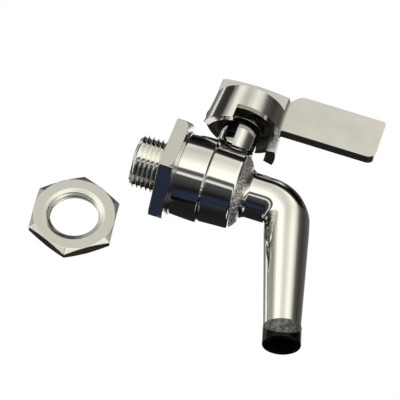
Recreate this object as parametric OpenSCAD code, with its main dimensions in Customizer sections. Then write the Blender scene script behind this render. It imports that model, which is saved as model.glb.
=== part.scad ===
// Beverage dispenser spigot: a quarter-turn ball valve with a threaded inlet
// shank, a cast lever with a vertical blade, and a tapered elbow spout.
// X runs with the flow, Z is the stem axis, and the origin is the centre of
// the hexagon's sealing face, on the inlet side. Millimetres throughout.

/* [Inlet shank] */
// Outer diameter of the inlet thread
thread_d = 20.955; // [18:0.005:24]
// Length of the threaded shank in front of the hexagon
thread_len = 12; // [9:0.5:20]
// Chamfer at the shank's open end
thread_chamfer = 1.5; // [0.5:0.1:2]
// Depth of the thread from crest to root
thread_depth = 1.16; // [0.8:0.01:1.3]
// Diameter of the inlet's bore
inlet_bore_d = 14; // [11:0.5:15]
// How far the inlet bore stops short of the hexagon's body side
bore_shoulder = 1; // [0.5:0.1:2]

/* [Hexagon] */
// Width across the flats of the fixed hexagon
hex_af = 37.8; // [35:0.2:42]
// Thickness of the hexagon
hex_t = 5.4; // [4:0.2:8]
// Broken edge at the corners of the hexagon's inlet side
hex_edge = 0.4; // [0.2:0.1:0.8]
// Length of the chamfered zone at the hexagon's body side
hex_chamfer_len = 2.1; // [1:0.1:2.5]
// How far the chamfer cuts in at the hexagon's corners
hex_chamfer_depth = 1.1; // [0.5:0.1:1.6]

/* [Valve body] */
// Length of the turned collar between the hexagon and the joint
collar_len = 0.6; // [0.4:0.1:1.2]
// Width and depth of the groove at the joint
groove = 0.5; // [0.3:0.05:0.8]
// Diameter of the valve body's barrel at its widest
barrel_d = 33; // [32:0.2:38]
// How much less the barrel's radius is at the joint
barrel_swell = 0.4; // [0.2:0.1:0.8]
// Length from the hexagon to the step where the barrel gives way to the outlet half
barrel_len = 12.4; // [11:0.1:15]
// Chamfer along the step
step_chamfer = 0.9; // [0.4:0.1:1.2]
// Diameter of the outlet half beside the step
body_d = 31.2; // [29:0.2:31.8]
// Depth of the notch at the foot of the step's chamfer
step_notch = 0.25; // [0.1:0.05:0.4]
// Length of the outlet half
body_len = 11.7; // [11:0.1:15]
// How much the outlet half narrows along its length, on diameter
body_draft = 1.1; // [0:0.1:2]
// Rounding at the outlet half's far edge
body_edge_r = 1.6; // [0.5:0.1:2]

/* [Ball and seats] */
// Diameter of the ball
ball_d = 16; // [14:0.2:16.6]
// Diameter of the port through the ball, the seats and the valve body
port_d = 9.5; // [7:0.1:10]
// Thickness of each seat ring along the flow
seat_t = 2.6; // [2:0.1:3]
// How far the ball reaches into the back of each seat
ball_sink = 1.7; // [1:0.1:2.2]
// Gap between the ball and the chamber's wall
chamber_gap = 0.3; // [0.2:0.05:0.6]
// Gap between the ball and its seats
ball_gap = 0.15; // [0.1:0.05:0.3]
// Wall of the inlet end's nose outside the chamber's radius
nose_wall = 3.3; // [2.5:0.1:4]
// Reach of the seat follower past the nose's shoulder
follower_len = 1.8; // [1.4:0.1:2.4]
// Thickness of the flat seal under the nose
body_seal_t = 0.8; // [0.5:0.1:1.2]

/* [Stem] */
// Distance from the step to the stem's axis
stem_offset = 3.9; // [3:0.1:5]
// Diameter of the stem
stem_d = 8; // [7:0.1:8.6]
// Gap between turning and still parts, on radius
running_gap = 0.05; // [0.03:0.01:0.08]
// Thickness of the tang that turns the ball
tang_t = 3.2; // [2.6:0.1:4]
// Depth to which the tang reaches into the ball
tang_depth = 2.4; // [1.6:0.1:3]
// Gap between the ball's top and the stem's shoulder
stem_rise = 0.6; // [0.3:0.1:1]
// Diameter of the stem's shoulder under the bonnet
shoulder_d = 10.4; // [9.6:0.1:11]
// Height of the stem's shoulder
shoulder_h = 1.8; // [1.2:0.1:2.4]
// Thickness of the thrust washer on the shoulder
washer_t = 0.8; // [0.5:0.1:1.2]
// Section diameter of the stem's O-rings
o_ring_d = 1.3; // [1:0.1:1.6]
// How much wider an O-ring's groove is than its section
o_ring_play = 0.4; // [0.2:0.1:0.8]
// Width across the flats of the square that carries the lever
square_af = 6.4; // [5.4:0.1:6.6]
// How far the square starts below the hub's ceiling
square_lead = 1; // [0.5:0.1:2]

/* [Bonnet] */
// Diameter of the bonnet, the upright neck round the stem
bonnet_d = 15.1; // [14.5:0.1:17]
// Chamfer round the bonnet's top
bonnet_chamfer = 0.6; // [0.3:0.1:1]
// Radius of the fillet where the bonnet stands on the valve body
bonnet_fillet = 3; // [1.5:0.1:4]
// Diameter of the counterbore for the packing
packing_d = 11.8; // [11:0.1:12.4]
// Height of the packing ring
packing_h = 2.4; // [1.8:0.1:3]
// Depth of the counterbore for the packing
packing_room = 4; // [3:0.1:5]
// Height of the hexagon on the gland nut
gland_hex_h = 3; // [2.4:0.1:3.6]
// Chamfer on top of the gland nut
gland_chamfer = 0.7; // [0.3:0.1:1]
// Gap between the gland nut and the ceiling of the lever's hub
gland_gap = 2.7; // [1.5:0.1:4]

/* [Lever hub] */
// Diameter of the lever's hub at its top rim
hub_d = 29.2; // [28:0.2:34]
// Growth of the hub's radius towards its skirt, for each millimetre of height
hub_draft = 0.062; // [0:0.002:0.1]
// Height of the hub's top rim over the body's axis
hub_top = 37.7; // [37:0.1:42]
// Height of the hub from the rim down to the skirt's edge
hub_h = 9.5; // [7:0.1:12]
// Wall of the hub's skirt
hub_wall = 2.4; // [1.8:0.1:3]
// Thickness of the hub's ceiling
hub_ceiling = 4; // [3:0.1:4.4]
// Depth of the slim skirt leg under the rim, on the inlet side
slim_leg_h = 16.2; // [12:0.1:17]
// Depth of the heavy skirt leg under the rim, on the blade's side
heavy_leg_h = 18.3; // [13:0.1:19]
// Wall of the heavy skirt leg
heavy_leg_wall = 3.7; // [3:0.1:4.4]
// Height of the bridge that crosses the hub's top
bridge_h = 7.4; // [5:0.1:9]
// Width of the bridge across the hub
bridge_w = 12; // [11:0.2:16]
// How much the bridge's top falls towards its ends
bridge_crown = 1.2; // [0.4:0.1:2]
// Rounding at the bridge's free end
bridge_edge = 1.6; // [0.6:0.1:3]

/* [Lever blade] */
// Distance from the stem's axis to the blade's free end
blade_reach = 51.8; // [40:0.2:70]
// Height of the blade's lower edge over the body's axis
blade_bottom = 31.2; // [29:0.1:34]
// Height of the blade, along the stem's axis
blade_h = 18; // [14:0.2:24]
// Thickness of the blade
blade_t = 4.3; // [3:0.1:6]
// Rounding of the shoulder where the blade rises out of the bridge
blade_shoulder_r = 5; // [3:0.1:8]
// Slope of that shoulder, in degrees
blade_shoulder_slope = 58; // [40:1:80]
// How far the dip before the shoulder lies under the bridge's top
blade_dip = 0.6; // [0:0.1:1]
// Rounding of the blade's upper outer corner
blade_corner_top = 1.4; // [0.5:0.1:3]
// Rounding of the blade's lower outer corner
blade_corner_low = 3.2; // [1:0.1:5]

/* [Lever screw] */
// Diameter of the screw's shank
screw_d = 5; // [4:0.1:5.4]
// Length of the screw in the stem
screw_len = 8; // [6:0.5:12]
// How far the stem's top lies below the bridge's top
stem_sink = 2; // [1:0.1:3]
// Diameter of the screw's head
head_d = 8.4; // [7:0.1:11]
// Height of the screw's head
head_h = 1.9; // [1.4:0.1:3]
// Height of the upright rim of the screw's head
head_rim = 0.5; // [0.2:0.1:1]
// Width and depth of the slot in the screw's head
slot_w = 1; // [0.6:0.1:1.4]
// Thickness of the split washer
spring_washer_t = 0.9; // [0.5:0.1:1.4]
// Width of the split in the washer
split_w = 0.6; // [0.3:0.1:1]

/* [Spout] */
// Distance from the stem's axis to where the spout's axis meets the body's axis
spout_offset = 27; // [26:0.1:34]
// Lean of the spout outwards from the vertical, in degrees
spout_lean = 14.9; // [5:0.1:25]
// Distance down the spout's axis from the body's axis to the metal's end
spout_drop = 52.5; // [40:0.5:80]
// Bend radius of the elbow's axis
bend_r = 10.4; // [10:0.1:14]
// Outer diameter of the spout at the elbow
spout_d = 17.8; // [16:0.1:19]
// Outer diameter of the spout at its outlet
outlet_d = 14.3; // [13.4:0.1:17]
// Diameter of the bore through the spout
spout_bore_d = 11; // [10:0.1:11.4]
// Length of the weld bead along the flow
weld_len = 4.6; // [3:0.1:5]
// How far the weld bead stands over the foot of the outlet half's rounding
weld_foot = 0.5; // [0.2:0.1:1]
// Thickness of the weld bead's thin edge on the spout
weld_edge = 0.2; // [0.1:0.05:0.5]
// Length of the black drip tip
tip_len = 7.6; // [4:0.1:14]
// Rounding round the drip tip's mouth
tip_lip = 1.2; // [0.5:0.1:1.6]

/* [Lock nut] */
// Width across the flats of the lock nut
nut_af = 31.6; // [30:0.1:36]
// Thickness of the lock nut
nut_t = 4.6; // [3:0.1:8]
// Diameter of the countersink at each mouth of the lock nut
nut_mouth_d = 23.3; // [22:0.1:25]
// Depth of the countersink at each mouth
nut_sink = 1.28; // [0.6:0.01:1.6]
// Height of the chamfer round the lock nut's corners
nut_chamfer = 0.9; // [0.4:0.1:1.4]
// How far that chamfer starts inside the flats
nut_inset = 0.2; // [0.1:0.05:0.5]
// Place of the lock nut beside the shank, along the flow
nut_x = -28.7; // [-60:0.1:-26]
// Place of the lock nut beside the shank, across the flow
nut_z = -22.7; // [-60:0.1:10]
// Turn of the lock nut on the surface where it lies, in degrees
nut_turn = 39.8; // [0:0.1:60]

/* [Hidden] */

$fn = 96;
eps = 0.02;
// Depth by which forms cast in one run into each other
lap = 1;
// Gap left between still parts that are screwed or pressed together
seat_gap = 0.05;

thread_r = thread_d / 2;
inlet_bore_r = inlet_bore_d / 2;
hex_r = hex_af / sqrt(3);
barrel_r = barrel_d / 2;
body_r = body_d / 2;
body_end_r = (body_d - body_draft) / 2;
port_r = port_d / 2;
ball_r = ball_d / 2;
stem_r = stem_d / 2;
bonnet_r = bonnet_d / 2;
hub_r = hub_d / 2;
bore_r = spout_bore_d / 2;
screw_r = screw_d / 2;
head_r = head_d / 2;

// Stations along X
groove_x = hex_t + collar_len;
joint_x = groove_x + groove;
step_x = hex_t + barrel_len;
stem_x = step_x + stem_offset;
body_end = step_x + body_len;
ball_reach = ball_r - ball_sink;
outlet_seat_x = stem_x + ball_reach;
inlet_seat_x = stem_x - ball_reach;
nose_end = inlet_seat_x - follower_len;
socket_floor = nose_end + body_seal_t;

// Radii about X
collar_r = barrel_r - barrel_swell;
chamber_r = ball_r + chamber_gap;
nose_r = chamber_r + nose_wall;

// Heights along Z, down from the lever to the bonnet
skirt_z = hub_top - hub_h;
ceiling_z = hub_top - hub_ceiling;
bridge_z = hub_top + bridge_h;
gland_top = ceiling_z - gland_gap;
bonnet_top = gland_top - gland_hex_h;
packing_bottom = bonnet_top - packing_room;
square_bottom = ceiling_z - square_lead;
stem_top = bridge_z - stem_sink;
screw_tip = stem_top - screw_len;

// Heights along Z, up from the ball
tang_bottom = ball_r - tang_depth;
tang_r = ball_reach - seat_t - seat_gap;
shoulder_bottom = ball_r + stem_rise;
washer_bottom = shoulder_bottom + shoulder_h;
pocket_top = washer_bottom + washer_t;
o_ring_pitch = (packing_bottom - pocket_top) / 3;
lower_o_ring_z = pocket_top + o_ring_pitch;
upper_o_ring_z = lower_o_ring_z + o_ring_pitch;
o_ring_land = o_ring_d + o_ring_play;
o_ring_r = stem_r - o_ring_d / 2;
packing_r = packing_d / 2;
gland_af = bonnet_d - bonnet_chamfer;

// Azimuths of the skirt's legs about the stem, from +X towards +Y
slim_leg = [-156, -102];
heavy_leg = [-14, 20];

// The spout's axis: along X, round the elbow, and down at its lean
bend_angle = 90 - spout_lean;
spout_x = stem_x + spout_offset;
bend_x = spout_x - bend_r * tan(bend_angle / 2);
bend_end_x = bend_x + bend_r * sin(bend_angle);
bend_end_z = -bend_r * (1 - cos(bend_angle));
leg_len = spout_drop - bend_r * tan(bend_angle / 2);

function hub_radius(z) = hub_r + (hub_top - z) * hub_draft;

// A solid turned about the X axis from [station, radius] points
module turned_x(profile) {
    rotate([0, 90, 0]) rotate_extrude() polygon([for (p = profile) [p[1], p[0]]]);
}

// A solid turned about the stem's axis from [radius, height] points
module turned_stem(profile) {
    translate([stem_x, 0, 0]) rotate_extrude() polygon(profile);
}

// A plain round along X from x0 to x1
module round_x(r, x0, x1) {
    translate([x0, 0, 0]) rotate([0, 90, 0]) cylinder(r = r, h = x1 - x0);
}

// A plain round on the stem's axis from z0 to z1
module round_stem(r, z0, z1) {
    translate([stem_x, 0, z0]) cylinder(r = r, h = z1 - z0);
}

// Points of an arc about a centre, from angle a0 to a1
function arc_points(centre, r, a0, a1, steps = 8) =
    [for (i = [0 : steps]) let (a = a0 + (a1 - a0) * i / steps)
        [centre[0] + r * cos(a), centre[1] + r * sin(a)]];

// The inlet end: threaded shank, fixed hexagon, and the nose that screws into the valve body
module inlet_end() {
    follower_r = chamber_r - seat_gap;
    bore_step = hex_t - bore_shoulder;
    throat = inlet_bore_r - bore_r;
    color([0.80, 0.79, 0.76])
    difference() {
        union() {
            turned_x([[-thread_len, 0], [-thread_len, thread_r - thread_chamfer],
                      [thread_chamfer - thread_len, thread_r], [hex_t / 2, thread_r], [hex_t / 2, 0]]);
            intersection() {
                rotate([0, 90, 0]) cylinder(r = hex_r, h = hex_t, $fn = 6);
                turned_x([[0, 0], [0, hex_r - hex_edge], [hex_edge, hex_r], [hex_t - hex_chamfer_len, hex_r],
                          [hex_t, hex_r - hex_chamfer_depth], [hex_t, 0]]);
            }
            turned_x([[hex_t / 2, 0], [hex_t / 2, collar_r], [groove_x, collar_r], [groove_x, collar_r - groove],
                      [joint_x, collar_r - groove], [joint_x, nose_r], [nose_end, nose_r],
                      [nose_end, follower_r], [inlet_seat_x, follower_r], [inlet_seat_x, 0]]);
        }
        // The inlet bore narrows to the spout's bore ahead of the seat
        turned_x([[-thread_len - eps, 0], [-thread_len - eps, inlet_bore_r], [bore_step, inlet_bore_r],
                  [bore_step + throat, bore_r], [inlet_seat_x + eps, bore_r], [inlet_seat_x + eps, 0]]);
    }
}

// Radius of the barrel at a share of its length, from the joint to the step's chamfer
function barrel_radius(share) = barrel_r - barrel_swell * pow(1 - share, 2);

// Half section of the valve body: a slightly swelled barrel, a chamfered step and the drafted outlet half
function body_profile() = let (
        steps = 4,
        edge = [body_end - body_edge_r, body_end_r - body_edge_r])
    concat([[joint_x, 0]],
           [for (i = [0 : steps]) let (u = i / steps)
               [joint_x + u * (step_x - step_chamfer - joint_x), barrel_radius(u)]],
           [[step_x, body_r - step_notch], [step_x + step_notch, body_r]],
           arc_points(edge, body_edge_r, 90, 0), [[body_end, 0]]);

// The valve body: barrel, outlet half and bonnet, cast in one
module valve_body() {
    color([0.82, 0.81, 0.78])
    difference() {
        union() {
            turned_x(body_profile());
            turned_stem([[0, chamber_r], [bonnet_r, chamber_r], [bonnet_r, bonnet_top - bonnet_chamfer],
                         [bonnet_r - bonnet_chamfer, bonnet_top], [0, bonnet_top]]);
            bonnet_foot();
        }
        // Socket for the inlet end's nose, chamber for the ball and both seats, port to the spout
        round_x(nose_r + seat_gap, joint_x - eps, socket_floor);
        round_x(chamber_r, socket_floor - eps, outlet_seat_x);
        round_x(bore_r, outlet_seat_x - eps, body_end + eps);
        // Pocket for the stem's shoulder, bore for the stem, counterbore for the packing
        round_stem(shoulder_d / 2 + 2 * running_gap, 0, pocket_top);
        round_stem(stem_r + running_gap, 0, bonnet_top + eps);
        round_stem(packing_r, packing_bottom, bonnet_top + eps);
    }
}

// Radius of the body's outside at station x, with the step eased over its chamfer
function outside_radius(x) = lookup(x, [
    [joint_x, barrel_radius(0)],
    [(joint_x + step_x - step_chamfer) / 2, barrel_radius(0.5)],
    [step_x - step_chamfer, barrel_r],
    [step_x, body_r],
    [body_end, body_end_r]]);

// One section through the bonnet's fillet at azimuth a: the arc that a ball leaves
// as it rolls between bonnet and body, closed inside the metal
function fillet_section(a, bite, arcs) = let (
        across = bonnet_r + bonnet_fillet,
        x = across * cos(a),
        y = across * sin(a),
        around = outside_radius(stem_x + x) + bonnet_fillet,
        z = sqrt(around * around - y * y),
        to_body = [0, -y, -z] / around,
        to_bonnet = [-cos(a), -sin(a), 0],
        span = acos(to_body * to_bonnet),
        centre = [stem_x + x, y, z],
        inner = (bonnet_r - lap / 2) / across)
    concat([[stem_x + x * inner, y * inner, z]],
           [for (i = [0 : arcs]) let (t = span * i / arcs)
               centre + (bonnet_fillet + bite)
                        * (to_bonnet * sin(span - t) + to_body * sin(t)) / sin(span)],
           [centre + to_body * (bonnet_fillet + lap),
            [stem_x + x * inner, y * inner, chamber_r]]);

// The bonnet's rolling-ball fillet on the body, clipped at the outlet face
module bonnet_foot() {
    turns = 48;
    arcs = 5;
    bite = seat_gap;
    n = arcs + 4;
    intersection() {
        polyhedron(
            points = [for (k = [0 : turns - 1]) each fillet_section(360 * k / turns, bite, arcs)],
            faces = [for (k = [0 : turns - 1], i = [0 : n - 1])
                let (p = k * n + i, q = k * n + (i + 1) % n,
                     m = ((k + 1) % turns) * n)
                each [[p, m + i, q], [q, m + i, m + (i + 1) % n]]]);
        round_x(2 * body_r, 0, body_end);
    }
}

// The flat seal between the nose's shoulder and the socket's floor
module body_seal() {
    color([0.93, 0.93, 0.90])
    difference() {
        round_x(nose_r - seat_gap, nose_end, socket_floor);
        round_x(chamber_r, nose_end - eps, socket_floor + eps);
    }
}

// One seat ring: a bored disc with a hollow that follows the ball, side 1 or -1
module seat_ring(side) {
    color([0.94, 0.94, 0.92])
    translate([stem_x, 0, 0]) mirror([side < 0 ? 1 : 0, 0, 0])
    difference() {
        round_x(chamber_r - seat_gap, ball_reach - seat_t, ball_reach);
        round_x(port_r, 0, ball_reach + eps);
        sphere(r = ball_r + ball_gap);
    }
}

module inlet_seat() seat_ring(-1);

module outlet_seat() seat_ring(1);

// The ball, with its port and the slot for the stem's tang
module ball() {
    color([0.86, 0.86, 0.86])
    difference() {
        translate([stem_x, 0, 0]) sphere(r = ball_r);
        round_x(port_r, stem_x - ball_r - eps, stem_x + ball_r + eps);
        translate([stem_x - ball_r, -tang_t / 2 - running_gap, tang_bottom - running_gap])
            cube([ball_d, tang_t + 2 * running_gap, ball_r]);
    }
}

// The stem: a round-ended tang between the seats, shoulder, grooved shaft and the square for the lever
module stem() {
    color([0.78, 0.78, 0.77])
    difference() {
        union() {
            intersection() {
                translate([stem_x - tang_r, -tang_t / 2, tang_bottom])
                    cube([2 * tang_r, tang_t, shoulder_bottom - tang_bottom + eps]);
                round_stem(tang_r, 0, pocket_top);
            }
            round_stem(shoulder_d / 2, shoulder_bottom, washer_bottom);
            round_stem(stem_r, washer_bottom - eps, square_bottom);
            intersection() {
                translate([stem_x - square_af / 2, -square_af / 2, square_bottom - eps])
                    cube([square_af, square_af, stem_top - square_bottom + eps]);
                round_stem(stem_r, square_bottom - eps, stem_top);
            }
        }
        for (z = [lower_o_ring_z, upper_o_ring_z]) o_ring_groove(z);
        round_stem(screw_r + seat_gap, screw_tip - screw_r, stem_top + eps);
    }
}

// One groove round the stem at height z
module o_ring_groove(z) {
    difference() {
        round_stem(stem_r + lap, z - o_ring_land / 2, z + o_ring_land / 2);
        round_stem(stem_r - o_ring_d, z - o_ring_land, z + o_ring_land);
    }
}

// One O-ring on the stem at height z
module o_ring(z) {
    color([0.10, 0.10, 0.11])
    translate([stem_x, 0, z]) rotate_extrude() translate([o_ring_r, 0]) circle(d = o_ring_d, $fn = 32);
}

module lower_o_ring() o_ring(lower_o_ring_z);

module upper_o_ring() o_ring(upper_o_ring_z);

// A flat ring on the stem's axis
module stem_ring(outer_r, z0, z1) {
    difference() {
        round_stem(outer_r, z0, z1);
        round_stem(stem_r + running_gap, z0 - eps, z1 + eps);
    }
}

// The washer between the stem's shoulder and the roof of its pocket
module thrust_washer() {
    color([0.93, 0.93, 0.90])
    stem_ring(shoulder_d / 2, washer_bottom + running_gap, pocket_top);
}

// The soft ring that the gland nut squeezes round the stem
module packing_ring() {
    color([0.90, 0.90, 0.86])
    stem_ring(packing_r - seat_gap, packing_bottom, packing_bottom + packing_h);
}

// The gland nut: a skirt on the packing and a hexagon over the bonnet
module gland_nut() {
    gland_r = gland_af / sqrt(3);
    color([0.75, 0.75, 0.74])
    difference() {
        union() {
            round_stem(packing_r - seat_gap, packing_bottom + packing_h, bonnet_top + eps);
            intersection() {
                translate([stem_x, 0, bonnet_top]) cylinder(r = gland_r, h = gland_hex_h, $fn = 6);
                turned_stem([[0, bonnet_top], [gland_r, bonnet_top], [gland_r, gland_top - gland_chamfer],
                             [gland_af / 2, gland_top], [0, gland_top]]);
            }
        }
        round_stem(stem_r + running_gap, packing_bottom, gland_top + eps);
    }
}

// The lever: hub, bridge, skirt legs and blade, cast as one
module lever() {
    color([0.81, 0.80, 0.76])
    difference() {
        union() {
            hub_shell(skirt_z, hub_top, hub_wall);
            skirt_leg(slim_leg, slim_leg_h, hub_wall);
            skirt_leg(heavy_leg, heavy_leg_h, heavy_leg_wall);
            hub_roof();
            bridge();
            blade();
        }
        translate([stem_x - square_af / 2 - seat_gap, -square_af / 2 - seat_gap, ceiling_z - eps])
            cube([square_af + 2 * seat_gap, square_af + 2 * seat_gap, stem_top - ceiling_z + 2 * seat_gap]);
        round_stem(screw_r + seat_gap, stem_top, bridge_z + eps);
    }
}

// The hub's drafted wall between two heights
module hub_shell(z0, z1, wall) {
    turned_stem([[hub_radius(z0) - wall, z0], [hub_radius(z0), z0],
                 [hub_radius(z1), z1], [hub_radius(z1) - wall, z1]]);
}

// The closed top of the hub
module hub_roof() {
    turned_stem([[0, ceiling_z], [hub_radius(ceiling_z) - hub_wall / 2, ceiling_z],
                 [hub_r - hub_wall / 2, hub_top], [0, hub_top]]);
}

// A leg of the skirt between two azimuths, reaching depth under the rim
module skirt_leg(span, depth, wall) {
    reach = 2 * hub_d;
    intersection() {
        hub_shell(hub_top - depth, skirt_z + lap, wall);
        translate([stem_x, 0, hub_top - depth - lap])
            linear_extrude(hub_h + depth)
                polygon([[0, 0], for (a = span) [reach * cos(a), reach * sin(a)]]);
    }
}

// The crowned bridge across the hub's top, trimmed to the hub's outline
module bridge() {
    steps = 10;
    end_h = bridge_h - bridge_crown;
    outline = concat(
        [[hub_r, -lap], [-hub_r, -lap]],
        arc_points([bridge_edge - hub_r, end_h - bridge_edge], bridge_edge, 180, 90),
        [for (i = [1 : steps]) let (u = 2 * i / steps - 1) [u * hub_r, bridge_h - bridge_crown * u * u]]);
    intersection() {
        translate([stem_x, bridge_w / 2, hub_top]) rotate([90, 0, 0]) linear_extrude(bridge_w) polygon(outline);
        round_stem(hub_r, hub_top - 2 * lap, bridge_z + lap);
    }
}

// The upright blade, with its shoulder rising out of the bridge
module blade() {
    top = blade_bottom + blade_h;
    root = hub_r - hub_wall / 2;
    outline = concat(
        [[root, blade_bottom]],
        arc_points([blade_reach - blade_corner_low, blade_bottom + blade_corner_low], blade_corner_low, -90, 0),
        arc_points([blade_reach - blade_corner_top, top - blade_corner_top], blade_corner_top, 0, 90),
        arc_points([hub_r + blade_shoulder_r, top - blade_shoulder_r], blade_shoulder_r,
                   90, 90 + blade_shoulder_slope),
        [[root, bridge_z - blade_dip]]);
    translate([stem_x, blade_t / 2, 0]) rotate([90, 0, 0]) linear_extrude(blade_t) polygon(outline);
}

// The split washer under the lever's screw, closed in its tightened state
module spring_washer() {
    color([0.72, 0.72, 0.70])
    difference() {
        round_stem(head_r, bridge_z, bridge_z + spring_washer_t);
        round_stem(screw_r + seat_gap, bridge_z - eps, bridge_z + spring_washer_t + eps);
        translate([stem_x, -split_w / 2, bridge_z - eps])
            cube([head_r + lap, split_w, spring_washer_t + 2 * eps]);
    }
}

// The domed, slotted screw that holds the lever on the stem
module lever_screw() {
    z0 = bridge_z + spring_washer_t;
    dome_h = head_h - head_rim;
    dome_r = (head_r * head_r + dome_h * dome_h) / (2 * dome_h);
    sweep = asin(head_r / dome_r);
    color([0.84, 0.84, 0.82])
    difference() {
        union() {
            round_stem(screw_r, screw_tip, z0 + eps);
            turned_stem(concat([[0, z0], [head_r, z0]],
                               arc_points([0, z0 + head_h - dome_r], dome_r, 90 - sweep, 90)));
        }
        translate([stem_x - head_r - lap, -slot_w / 2, z0 + head_h - slot_w])
            cube([head_d + 2 * lap, slot_w, head_h]);
    }
}

// The bead that joins the spout to the valve body
module weld_bead() {
    foot_r = body_end_r - body_edge_r + weld_foot;
    rim_r = spout_d / 2 + weld_edge;
    color([0.72, 0.70, 0.66])
    difference() {
        turned_x(concat([[body_end, 0]],
                        [for (i = [0 : 8]) let (a = 90 * i / 8)
                            [body_end + weld_len * sin(a), rim_r + (foot_r - rim_r) * cos(a)]],
                        [[body_end + weld_len, 0]]));
        round_x(spout_d / 2, body_end - eps, body_end + weld_len + eps);
    }
}

// The elbow spout: a straight run, a bend and a tapering drop, bored all the way
module spout() {
    color([0.82, 0.81, 0.78])
    difference() {
        spout_form(spout_d / 2, outlet_d / 2, 0);
        spout_form(bore_r, bore_r, eps);
    }
}

// A solid along the spout's axis. The bend is stouter by a hair and swallows the
// ends of both straight stretches; spare lengthens the open ends
module spout_form(r0, r1, spare) {
    hair = 0.05;
    bite = 0.4;
    round_x(r0, body_end - spare, bend_x + bite);
    translate([bend_x, 0, -bend_r]) rotate([90, 0, 0]) rotate([0, 0, 90 - bend_angle])
        rotate_extrude(angle = bend_angle) translate([bend_r, 0]) circle(r = r0 + hair);
    spout_leg() translate([0, 0, -bite])
        cylinder(r1 = r0, r2 = r1, h = bite + leg_len + spare);
}

// Places its children at the elbow's end, with +Z down the spout's axis
module spout_leg() {
    translate([bend_end_x, 0, bend_end_z]) rotate([0, 180 - spout_lean, 0]) children();
}

// The black drip tip on the spout's end
module drip_tip() {
    tip_r = outlet_d / 2;
    color([0.04, 0.04, 0.04])
    spout_leg() translate([0, 0, leg_len])
    difference() {
        rotate_extrude() polygon(concat([[0, 0], [tip_r, 0]],
                                        arc_points([tip_r - tip_lip, tip_len - tip_lip], tip_lip, 0, 90), [[0, tip_len]]));
        translate([0, 0, -eps]) cylinder(r = bore_r, h = tip_len + 2 * eps);
    }
}

// The thin lock nut, lying on one face in the plane of the hexagon's lower flat
module lock_nut() {
    nut_r = nut_af / sqrt(3);
    mouth_r = nut_mouth_d / 2;
    minor_r = thread_r - thread_depth;
    face_r = nut_af / 2 - nut_inset;
    color([0.76, 0.75, 0.70])
    translate([nut_x, hex_af / 2, nut_z]) rotate([90, nut_turn, 0])
    difference() {
        intersection() {
            cylinder(r = nut_r, h = nut_t, $fn = 6);
            rotate_extrude() polygon([[0, 0], [face_r, 0], [nut_r, nut_chamfer], [nut_r, nut_t - nut_chamfer],
                                      [face_r, nut_t], [0, nut_t]]);
        }
        translate([0, 0, -eps]) cylinder(r = minor_r, h = nut_t + 2 * eps);
        for (end = [0, 1]) translate([0, 0, end * nut_t]) mirror([0, 0, end])
            translate([0, 0, -eps]) cylinder(r1 = mouth_r, r2 = minor_r, h = nut_sink);
    }
}

inlet_end();
valve_body();
body_seal();
inlet_seat();
outlet_seat();
ball();
stem();
thrust_washer();
lower_o_ring();
upper_o_ring();
packing_ring();
gland_nut();
lever();
spring_washer();
lever_screw();
weld_bead();
spout();
drip_tip();
lock_nut();
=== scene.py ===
"""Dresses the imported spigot: polished shank, body and spout, satin lever, rough weld, black tip and nut.

Every length is in millimetres until a skin becomes a mesh. X runs with the flow, Z is the stem's axis,
and the origin is the centre of the hexagon's sealing face.
"""

import logging
import math
from dataclasses import dataclass, field
from enum import Enum

import bpy
import numpy as np
from mathutils import Matrix


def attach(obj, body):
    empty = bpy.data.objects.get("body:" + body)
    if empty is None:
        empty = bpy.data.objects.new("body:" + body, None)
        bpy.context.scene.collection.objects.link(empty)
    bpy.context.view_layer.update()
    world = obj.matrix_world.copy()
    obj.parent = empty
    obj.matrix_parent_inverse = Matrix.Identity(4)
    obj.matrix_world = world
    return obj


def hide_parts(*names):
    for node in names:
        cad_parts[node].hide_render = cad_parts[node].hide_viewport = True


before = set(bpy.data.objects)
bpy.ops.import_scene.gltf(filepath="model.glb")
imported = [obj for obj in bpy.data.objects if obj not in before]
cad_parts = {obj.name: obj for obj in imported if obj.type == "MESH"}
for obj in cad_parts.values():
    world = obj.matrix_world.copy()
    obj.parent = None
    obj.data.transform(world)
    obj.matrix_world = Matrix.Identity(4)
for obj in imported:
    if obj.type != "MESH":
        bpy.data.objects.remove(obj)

logging.basicConfig(level=logging.INFO, format="%(message)s")
log = logging.getLogger("spigot")

Socket = bpy.types.NodeSocket
Material = bpy.types.Material
Triple = tuple[float, float, float]
Colour = Triple
MM = 0.001
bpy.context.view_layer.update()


class Body(Enum):
    """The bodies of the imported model."""

    FIXED = "body"
    TURNING = "lever_assembly"


def unit(vectors: np.ndarray) -> np.ndarray:
    """Scales vectors to length one along their last axis."""
    lengths = np.linalg.norm(vectors, axis=-1, keepdims=True)
    return vectors / np.maximum(lengths, 1e-12)


@dataclass(frozen=True)
class Axis:
    """A line in space with two directions across it."""

    origin: Triple
    along: Triple
    side: Triple

    def place(self, along: np.ndarray, radius: np.ndarray, angle: np.ndarray) -> np.ndarray:
        """Points at stations, radii and angles about this axis, spread over each other's shapes.

        Args:
            along: Station of each point on the axis.
            radius: Distance of each point from the axis.
            angle: Angle of each point, from side towards along x side.

        Returns:
            Points with the arrays' common shape and three numbers each.
        """
        along, radius, angle = np.broadcast_arrays(along, radius, angle)
        a = np.array(self.along)
        u = np.array(self.side)
        v = np.cross(a, u)
        ring = np.cos(angle)[..., None] * u + np.sin(angle)[..., None] * v
        return np.array(self.origin) + along[..., None] * a + radius[..., None] * ring

    def direct(self, along: np.ndarray, outward: np.ndarray, angle: np.ndarray) -> np.ndarray:
        """Unit directions with a share along the axis and a share outward.

        Args:
            along: Share along the axis.
            outward: Share away from the axis.
            angle: Angle of the outward share.

        Returns:
            Unit vectors.
        """
        free = Axis((0.0, 0.0, 0.0), self.along, self.side)
        return unit(free.place(along, outward, angle))


FLOW = Axis((0.0, 0.0, 0.0), (1.0, 0.0, 0.0), (0.0, 0.0, 1.0))


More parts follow.
